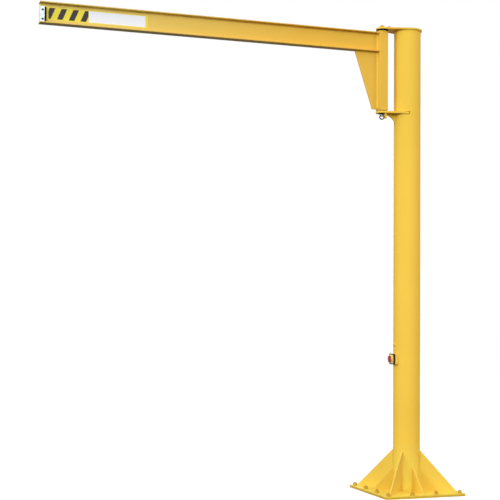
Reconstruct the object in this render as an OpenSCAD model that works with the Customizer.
// Column-mounted slewing jib crane: a tubular column on a ribbed base plate, an I-section jib
// hung on a square hinge post between two brackets, and a hand isolator on the column.
// Origin: centre of the base plate's underside. +Z up, the jib lies along -X, front is -Y.

/* [Column] */
// Outer diameter of the column tube
column_d = 219.1; // [200:0.1:250]
// Wall of the column tube
column_wall = 8; // [5:0.5:12.5]
// Height of the column tube's top above the floor
column_top = 3790; // [3500:10:4500]

/* [Base plate] */
// Side of the square base plate
base_w = 700; // [660:10:900]
// Thickness of the base plate
base_t = 20; // [15:1:40]
// Radius of the base plate's corners
base_corner_r = 6; // [2:1:20]
// Diameter of the anchor holes
anchor_hole_d = 24; // [18:1:30]
// Distance from an anchor hole's centre to the plate's edge
anchor_edge = 35; // [30:1:45]
// Anchor holes along each side, corners included
anchors_per_side = 4; // [2:1:6]

/* [Base ribs] */
// Thickness of the ribs
rib_t = 10; // [6:1:15]
// Height of the four corner ribs
corner_rib_h = 318; // [200:1:450]
// Distance from a corner rib's toe to the plate's corner
corner_rib_gap = 73; // [70:1:200]
// Height of the four side ribs
side_rib_h = 187; // [120:1:260]
// Distance from a side rib's toe to the plate's edge
side_rib_gap = 62; // [20:1:150]
// Height of a corner rib's blunt toe
corner_rib_toe = 9; // [6:1:30]
// Height of a side rib's blunt toe
side_rib_toe = 25; // [6:1:40]
// Width of a rib's blunt top
rib_nose = 9; // [6:1:20]
// Corner cut from a rib to clear the weld at the column's foot
rib_snipe = 15; // [8:1:25]

/* [Brackets] */
// Distance from the column's axis to the pivot
pivot_x = 232; // [225:1:320]
// Radius of the brackets' round ends at the pivot
bracket_end_r = 50; // [48:1:75]
// Thickness of the cap plate
cap_t = 12; // [8:1:25]
// Overhang of the cap plate round the column
cap_overhang = 10; // [4:1:20]
// Distance from the column's top down to the lower bracket plate's top face
hinge_h = 680; // [550:10:1000]
// Thickness of the lower bracket plate
lower_t = 16; // [10:1:25]
// Thickness of the gusset under the lower bracket
gusset_t = 10; // [6:1:15]
// Height of the gusset down the column
gusset_h = 82; // [50:1:120]
// Distance from the column's surface to the gusset's blunt end under the bracket plate
gusset_reach = 80; // [50:1:88]
// Height of the gusset's blunt end
gusset_toe = 12; // [4:1:30]
// Radius of the gusset's hollow edge
gusset_r = 108; // [80:1:300]

/* [Pivot] */
// Diameter of the two pivot pins
pin_d = 32; // [26:1:45]
// Diameter of the thrust washers
washer_d = 96; // [76:1:98]
// Thickness of the upper thrust washer
washer_t = 14; // [8:1:20]
// Thickness of the lower thrust washer, which carries the jib
foot_washer_t = 6; // [4:1:20]
// Thickness of the retainer washer under the lower bracket
retainer_t = 8; // [4:1:12]
// Diameter of the retainer washer
retainer_d = 46; // [42:1:47]
// Length of a pin inside the hinge post, past its end plate
pin_reach = 34; // [20:1:60]
// Length of the upper pin's threaded end above the cap plate
thread_h = 27; // [22:1:40]
// Diameter of the upper pin's threaded end
thread_d = 24; // [16:1:26]
// Width across flats of the nut on the upper pin
nut_w = 36; // [34:1:41]
// Height of the nut on the upper pin
nut_h = 20; // [10:1:21]
// Diameter of the linch pin's shank
linch_d = 8; // [5:0.5:10]
// Diameter of the linch pin's head
linch_head_d = 17; // [15:0.5:18]
// Angle by which the linch pin points from the front towards the jib
linch_turn = 25; // [20:1:60]
// Wire diameter of the linch pin's ring
ring_wire = 9; // [5:0.5:9.5]
// Diameter of the ring, measured at the middle of its wire
ring_d = 27; // [24:1:30]
// Width of the keeper lug, front to back
lug_w = 20; // [10:1:24]
// Thickness of the keeper lug along the jib
lug_t = 15; // [8:1:20]
// Length of the keeper lug below the bracket
lug_h = 44; // [15:1:60]
// Distance from the pivot's axis forward to the keeper lug
lug_front = 24; // [24:1:28]
// Distance from the pivot's axis towards the column to the keeper lug
lug_side = 11; // [10:1:20]

/* [Hinge post] */
// Width of the square hinge post
post_w = 80; // [70:5:100]
// Wall of the hinge post
post_wall = 6; // [4:0.5:8]
// Outer corner radius of the hinge post
post_corner_r = 12; // [8:1:16]
// Diameter of the hinge post's round end plates
end_plate_d = 90; // [88:1:110]
// Thickness of the hinge post's round end plates
end_plate_t = 8; // [6:1:16]

/* [Jib] */
// Distance from the column's axis to the jib's tip
tip_x = 3055; // [1500:5:4000]
// Distance from the underside of the post's upper end plate down to the jib's top
jib_drop = 7.7; // [2:0.1:60]
// Depth of the I-section
beam_h = 160; // [140:1:180]
// Width of the I-section's flanges
beam_w = 82; // [60:1:84]
// Thickness of the I-section's web
beam_web = 5; // [4:0.1:8]
// Thickness of the I-section's flanges
beam_flange = 7.4; // [5:0.1:12]
// Radius of the fillets between web and flanges
beam_fillet = 9; // [5:1:12]
// Width of the bracket web along the jib's underside
web_top_w = 205; // [100:5:300]
// Height of the bracket web's blunt outer end
web_nose_h = 10; // [5:1:60]
// Width of the bracket web at its foot
web_foot_w = 50; // [20:1:80]
// Thickness of the bracket web
web_t = 8; // [5:1:12]

/* [End stops] */
// Leg of the end-stop angles along the jib
stop_leg = 32; // [25:1:60]
// Distance from the middle of the jib to the end-stop angles' outer faces
stop_out = 38; // [30:1:40.5]
// Thickness of the end-stop angles
stop_t = 5; // [4:0.5:8]
// Height of the end-stop angles
stop_h = 114; // [80:1:120]
// Length by which the rubber buffers stand out of the angles
buffer_out = 15; // [5:1:30]
// Height of the rubber buffers
buffer_h = 103; // [60:1:105]

/* [Isolator] */
// Height of the isolator's centre above the floor
switch_z = 1080; // [800:5:1600]
// Width and height of the isolator's black frame
switch_w = 87; // [76:1:100]
// Thickness of the isolator's black frame
switch_t = 12; // [4:1:30]
// Width and height of the isolator's front plate
plate_w = 70; // [62:1:72]
// Thickness of the isolator's front plate
plate_t = 2; // [1:0.5:4]
// Distance from the column's surface to the face of the isolator's bracket
bracket_out = 16; // [4:0.5:30]
// Thickness of the isolator's folded bracket
bracket_t = 4; // [2:0.5:4]
// Width of the isolator's bracket
bracket_w = 100; // [88:1:120]
// Height of the isolator's bracket
bracket_h = 84; // [70:1:120]
// Diameter of the isolator's knob
knob_d = 58; // [46:1:62]
// Height of the isolator's knob
knob_h = 26; // [20:1:40]
// Diameter of the cable gland above the isolator
gland_d = 22; // [14:1:26]
// Distance by which the gland stands out of the column
gland_out = 10; // [6:1:20]
// Distance from the isolator's centre up to the cable gland
gland_rise = 117; // [90:1:200]

/* [Hidden] */
$fn = 96;

eps = 1;             // overshoot of a cutting shape past the face it cuts
run_gap = 0.3;       // gap between faces that turn against each other
pin_gap = 0.08;      // radial running clearance of the pivot pins in the post's end plates
seat_gap = 0.25;     // radial clearance of a pin in a plate that holds it still
ring_gap = 0.3;      // clearance round the ring's wire in the linch pin's head
column_r = column_d / 2;
lower_top = column_top - hinge_h;                 // top face of the lower bracket plate
under = lower_top - lower_t;                      // underside of the lower bracket plate
post_top = column_top - washer_t - run_gap;       // top face of the post's upper end plate
post_foot = lower_top + foot_washer_t + run_gap;  // underside of the post's lower end plate
post_face = pivot_x + post_w / 2;                 // the post's face that carries the jib
jib_under = post_top - end_plate_t - jib_drop - beam_h;
stop_foot = jib_under + beam_flange;              // the end stops stand on the lower flange
buffer_foot = stop_foot + beam_fillet;
switch_x = column_r + bracket_out;                // face of the isolator's bracket
frame_x = switch_x + switch_t;
front_x = frame_x + plate_t;                      // front plate's face
linch_z = under - retainer_t - linch_head_d / 2 - run_gap;
linch_out = (pin_d + linch_head_d) / 2 + run_gap; // from the pivot to the middle of the linch pin's head
pin_foot = linch_z - linch_d;                     // lower end of the lower pin

// Straight-sided plate from a disc of radius r1 on the column's axis to one of radius r2 at the pivot
module tapered_outline(r1, r2) {
    a = acos((r1 - r2) / pivot_x);
    near = [for (s = [-1, 1]) [-r1 * cos(a), s * r1 * sin(a)]];
    far = [for (s = [1, -1]) [-pivot_x - r2 * cos(a), s * r2 * sin(a)]];
    polygon(concat(near, far));
    translate([-pivot_x, 0]) circle(r = r2);
}

// Upright rib plate in the XZ plane, from the column outwards along +X
module rib(height, reach, toe) {
    difference() {
        translate([0, rib_t / 2, base_t]) rotate([90, 0, 0]) linear_extrude(rib_t)
            polygon([[0, 0], [reach, 0], [reach, toe], [column_r + rib_nose, height], [0, height]]);
        translate([0, 0, base_t - eps]) cylinder(r = column_r, h = height + 2 * eps);
        translate([column_r, 0, base_t]) rotate([0, 45, 0])
            cube([rib_snipe * sqrt(2), rib_t + 2 * eps, rib_snipe * sqrt(2)], center = true);
    }
}

// Square with rounded corners
module rounded_square(w, r) {
    for (turn = [0, 90]) rotate(turn) square([w, w - 2 * r], center = true);
    for (x = [-1, 1], y = [-1, 1]) translate([x * (w / 2 - r), y * (w / 2 - r)]) circle(r = r);
}

module base_plate() {
    pitch = (base_w - 2 * anchor_edge) / (anchors_per_side - 1);
    edge = base_w / 2 - anchor_edge;
    color("gold") difference() {
        linear_extrude(base_t) rounded_square(base_w, base_corner_r);
        for (side = [0:3], i = [0:anchors_per_side - 2])
            rotate(90 * side) translate([-edge + i * pitch, -edge, -eps])
                cylinder(d = anchor_hole_d, h = base_t + 2 * eps);
    }
}

module column_tube() {
    color("gold") translate([0, 0, base_t]) difference() {
        cylinder(r = column_r, h = column_top - base_t);
        translate([0, 0, -eps]) cylinder(r = column_r - column_wall, h = column_top - base_t + 2 * eps);
    }
}

module cap_plate() {
    color("gold") translate([0, 0, column_top]) difference() {
        linear_extrude(cap_t) {
            circle(r = column_r + cap_overhang);
            tapered_outline(column_r + cap_overhang, bracket_end_r);
        }
        translate([-pivot_x, 0, -eps]) cylinder(r = pin_d / 2 + seat_gap, h = cap_t + 2 * eps);
    }
}

module corner_rib(turn) {
    color("gold") rotate(turn) rib(corner_rib_h, base_w / sqrt(2) - corner_rib_gap, corner_rib_toe);
}
module corner_rib_front_left() { corner_rib(225); }
module corner_rib_front_right() { corner_rib(315); }
module corner_rib_back_left() { corner_rib(135); }
module corner_rib_back_right() { corner_rib(45); }

module side_rib(turn) {
    color("gold") rotate(turn) rib(side_rib_h, base_w / 2 - side_rib_gap, side_rib_toe);
}
module side_rib_front() { side_rib(270); }
module side_rib_back() { side_rib(90); }
module side_rib_left() { side_rib(180); }
module side_rib_right() { side_rib(0); }

module lower_bracket() {
    color("gold") translate([0, 0, lower_top - lower_t]) difference() {
        linear_extrude(lower_t) tapered_outline(column_r, bracket_end_r);
        translate([0, 0, -eps]) cylinder(r = column_r, h = lower_t + 2 * eps);
        translate([-pivot_x, 0, -eps]) cylinder(r = pin_d / 2 + seat_gap, h = lower_t + 2 * eps);
    }
}

// Gusset with a hollow round edge, from the column's surface out to a blunt end under the plate
module lower_gusset() {
    first = [-column_r, under - gusset_h];
    last = [-column_r - gusset_reach, under - gusset_toe];
    chord = last - first;
    rise = sqrt(gusset_r * gusset_r - chord * chord / 4);
    middle = (first + last) / 2 - [chord.y, -chord.x] / norm(chord) * rise;
    color("gold") difference() {
        translate([0, gusset_t / 2, 0]) rotate([90, 0, 0]) linear_extrude(gusset_t) difference() {
            translate([last.x, first.y]) square([gusset_reach + gusset_t, gusset_h]);
            translate(middle) circle(r = gusset_r);
        }
        translate([0, 0, first.y - eps]) cylinder(r = column_r, h = gusset_h + 2 * eps);
    }
}

// The upper pin hangs in the cap plate from its nut, and turns in the post's upper end plate
module upper_pin() {
    shank = cap_t + washer_t + run_gap + end_plate_t + pin_reach;
    color("silver") translate([-pivot_x, 0, column_top + cap_t]) {
        translate([0, 0, -shank]) cylinder(d = pin_d, h = shank);
        cylinder(d = thread_d, h = thread_h);
    }
}

module upper_nut() {
    color("silver") translate([-pivot_x, 0, column_top + cap_t]) difference() {
        cylinder(d = nut_w / cos(30), h = nut_h, $fn = 6);
        translate([0, 0, -eps]) cylinder(d = thread_d + 2 * seat_gap, h = nut_h + 2 * eps);
    }
}

// The lower pin stands in the lower bracket, held by the linch pin through its foot
module lower_pin() {
    color("silver") translate([-pivot_x, 0, 0]) difference() {
        translate([0, 0, pin_foot])
            cylinder(d = pin_d, h = post_foot + end_plate_t + pin_reach - pin_foot);
        translate([0, 0, linch_z]) rotate([90, 0, -linch_turn])
            cylinder(d = linch_d + 2 * seat_gap, h = 2 * pin_d, center = true);
    }
}

// Lug welded under the bracket plate: the linch pin's head stops against it
module keeper_lug() {
    color("gold") translate([-pivot_x + lug_side, -lug_front - lug_w, under - lug_h])
        cube([lug_t, lug_w, lug_h]);
}

// Ring round the pivot's axis with its foot at the given height
module pivot_ring(outer, inner, foot, h) {
    translate([-pivot_x, 0, foot]) difference() {
        cylinder(d = outer, h = h);
        translate([0, 0, -eps]) cylinder(d = inner, h = h + 2 * eps);
    }
}

module upper_washer() {
    color("dimgray") pivot_ring(washer_d, pin_d + 2 * seat_gap, column_top - washer_t, washer_t);
}

module lower_washer() {
    color("peru") pivot_ring(washer_d, pin_d + 2 * seat_gap, lower_top, foot_washer_t);
}

module retainer_washer() {
    color("dimgray") pivot_ring(retainer_d, pin_d + 2 * seat_gap, under - retainer_t, retainer_t);
}

// Frame of the linch pin: its shank along Y through the pivot pin, its head's middle on the origin
module at_linch_head() {
    translate([-pivot_x, 0, linch_z]) rotate(-linch_turn) translate([0, -linch_out, 0]) children();
}

// Upright torus that hangs from the middle of the linch pin's head
module ring_shape(wire) {
    translate([0, 0, -ring_d / 2]) rotate([90, 0, 0]) rotate_extrude()
        translate([ring_d / 2, 0]) circle(d = wire, $fn = 32);
}

module linch_pin() {
    color("silver") at_linch_head() difference() {
        union() {
            rotate([-90, 0, 0]) cylinder(d = linch_d, h = linch_out + pin_d / 2 + linch_d);
            sphere(d = linch_head_d);
        }
        ring_shape(ring_wire + 2 * ring_gap);
    }
}

module linch_ring() { color("dimgray") at_linch_head() ring_shape(ring_wire); }

// Bracket of the isolator: a plate folded back on both sides, its sides coped to the column
module switch_bracket() {
    color("gold") difference() {
        translate([-switch_x, -bracket_w / 2, switch_z - bracket_h / 2])
            cube([switch_x, bracket_w, bracket_h]);
        translate([-switch_x + bracket_t, -bracket_w / 2 + bracket_t, switch_z - bracket_h / 2 - eps])
            cube([switch_x, bracket_w - 2 * bracket_t, bracket_h + 2 * eps]);
        translate([0, 0, switch_z - bracket_h / 2 - eps]) cylinder(r = column_r, h = bracket_h + 2 * eps);
    }
}

// Upright slab that faces -X, its face at distance x from the column's axis
module facing_slab(x, t, w, r) {
    translate([-x, 0, switch_z]) rotate([0, 90, 0]) linear_extrude(t) rounded_square(w, r);
}

module switch_frame() { color("dimgray") facing_slab(frame_x, switch_t, switch_w, 12); }
module switch_plate() { color("yellow") facing_slab(front_x, plate_t, plate_w, 8); }

// Knob of the isolator: a broad head on a neck, with a raised grip bar across it
module switch_knob() {
    neck_h = 0.4 * knob_h;
    head_h = 0.75 * knob_h;
    grip_w = knob_d / 3.5;
    color("firebrick") translate([-front_x - run_gap, 0, switch_z]) rotate([0, -90, 0]) {
        cylinder(d = 0.6 * knob_d, h = head_h);
        translate([0, 0, neck_h]) cylinder(d = knob_d, h = head_h - neck_h);
        intersection() {
            translate([0, 0, neck_h]) cylinder(d = knob_d, h = knob_h - neck_h);
            translate([0, 0, knob_h / 2]) cube([knob_d, grip_w, knob_h], center = true);
        }
    }
}

module cable_gland() {
    color("gold") difference() {
        translate([-column_r - gland_out, 0, switch_z + gland_rise]) rotate([0, 90, 0])
            cylinder(d = gland_d, h = gland_out + column_r / 2);
        translate([0, 0, switch_z + gland_rise - gland_d]) cylinder(r = column_r, h = 2 * gland_d);
    }
}

// Rolled I-section, its underside on Y = 0, with fillets between web and flanges
module i_section() {
    inner_x = beam_web / 2;
    inner_y = beam_h / 2 - beam_flange;
    translate([0, beam_h / 2]) {
        square([beam_web, beam_h], center = true);
        for (y = [-1, 1]) translate([0, y * (beam_h - beam_flange) / 2])
            square([beam_w, beam_flange], center = true);
        for (x = [-1, 1], y = [-1, 1]) scale([x, y]) translate([inner_x, inner_y - beam_fillet])
            difference() {
                translate([-beam_web / 4, 0]) square([beam_fillet + beam_web / 4, beam_fillet]);
                translate([beam_fillet, 0]) circle(r = beam_fillet);
            }
    }
}

module jib_beam() {
    color("gold") translate([-tip_x, 0, jib_under]) rotate([90, 0, 90])
        linear_extrude(tip_x - post_face) i_section();
}

module hinge_post() {
    foot = post_foot + end_plate_t;
    color("gold") translate([-pivot_x, 0, foot]) linear_extrude(post_top - end_plate_t - foot)
        difference() {
            rounded_square(post_w, post_corner_r);
            rounded_square(post_w - 2 * post_wall, post_corner_r - post_wall);
        }
}

module post_top_plate() {
    color("gold") pivot_ring(end_plate_d, pin_d + 2 * pin_gap, post_top - end_plate_t, end_plate_t);
}

module post_foot_plate() {
    color("gold") pivot_ring(end_plate_d, pin_d + 2 * pin_gap, post_foot, end_plate_t);
}

module bracket_web() {
    foot = post_foot + end_plate_t;
    color("gold") translate([0, web_t / 2, 0]) rotate([90, 0, 0]) linear_extrude(web_t)
        polygon([[-post_face, jib_under], [-post_face - web_top_w, jib_under],
            [-post_face - web_top_w, jib_under - web_nose_h], [-post_face - web_foot_w, foot],
            [-post_face, foot]]);
}

// End-stop angle on one side of the jib's web, coped for the fillet: one leg closes the tip, the
// other stands at the flange's edge. Side is -1 for the front, 1 for the back
module stop_angle(side) {
    cope = [beam_fillet + stop_t, beam_web / 2 + beam_fillet, beam_fillet];
    color("silver") scale([1, side, 1]) translate([-tip_x, 0, stop_foot]) difference() {
        linear_extrude(stop_h) {
            translate([0, beam_web / 2]) square([stop_t, stop_out - beam_web / 2]);
            translate([0, stop_out - stop_t]) square([stop_leg, stop_t]);
        }
        translate([-eps, -eps, -eps]) cube(cope + [2 * eps, eps, eps]);
    }
}
module stop_angle_front() { stop_angle(-1); }
module stop_angle_back() { stop_angle(1); }

// Rubber block between the jib's web and an end-stop angle
module buffer(side) {
    length = stop_leg - stop_t + buffer_out;
    color("dimgray") scale([1, side, 1]) translate([stop_t - tip_x, beam_web / 2, buffer_foot])
        cube([length, stop_out - stop_t - beam_web / 2, buffer_h]);
}
module buffer_front() { buffer(-1); }
module buffer_back() { buffer(1); }

base_plate();
column_tube();
cap_plate();
corner_rib_front_left();
corner_rib_front_right();
corner_rib_back_left();
corner_rib_back_right();
side_rib_front();
side_rib_back();
side_rib_left();
side_rib_right();
lower_bracket();
lower_gusset();
upper_pin();
upper_nut();
lower_pin();
keeper_lug();
upper_washer();
lower_washer();
retainer_washer();
linch_pin();
linch_ring();
switch_bracket();
switch_frame();
switch_plate();
cable_gland();
jib_beam();
hinge_post();
post_top_plate();
post_foot_plate();
bracket_web();
stop_angle_front();
stop_angle_back();
buffer_front();
buffer_back();
switch_knob();
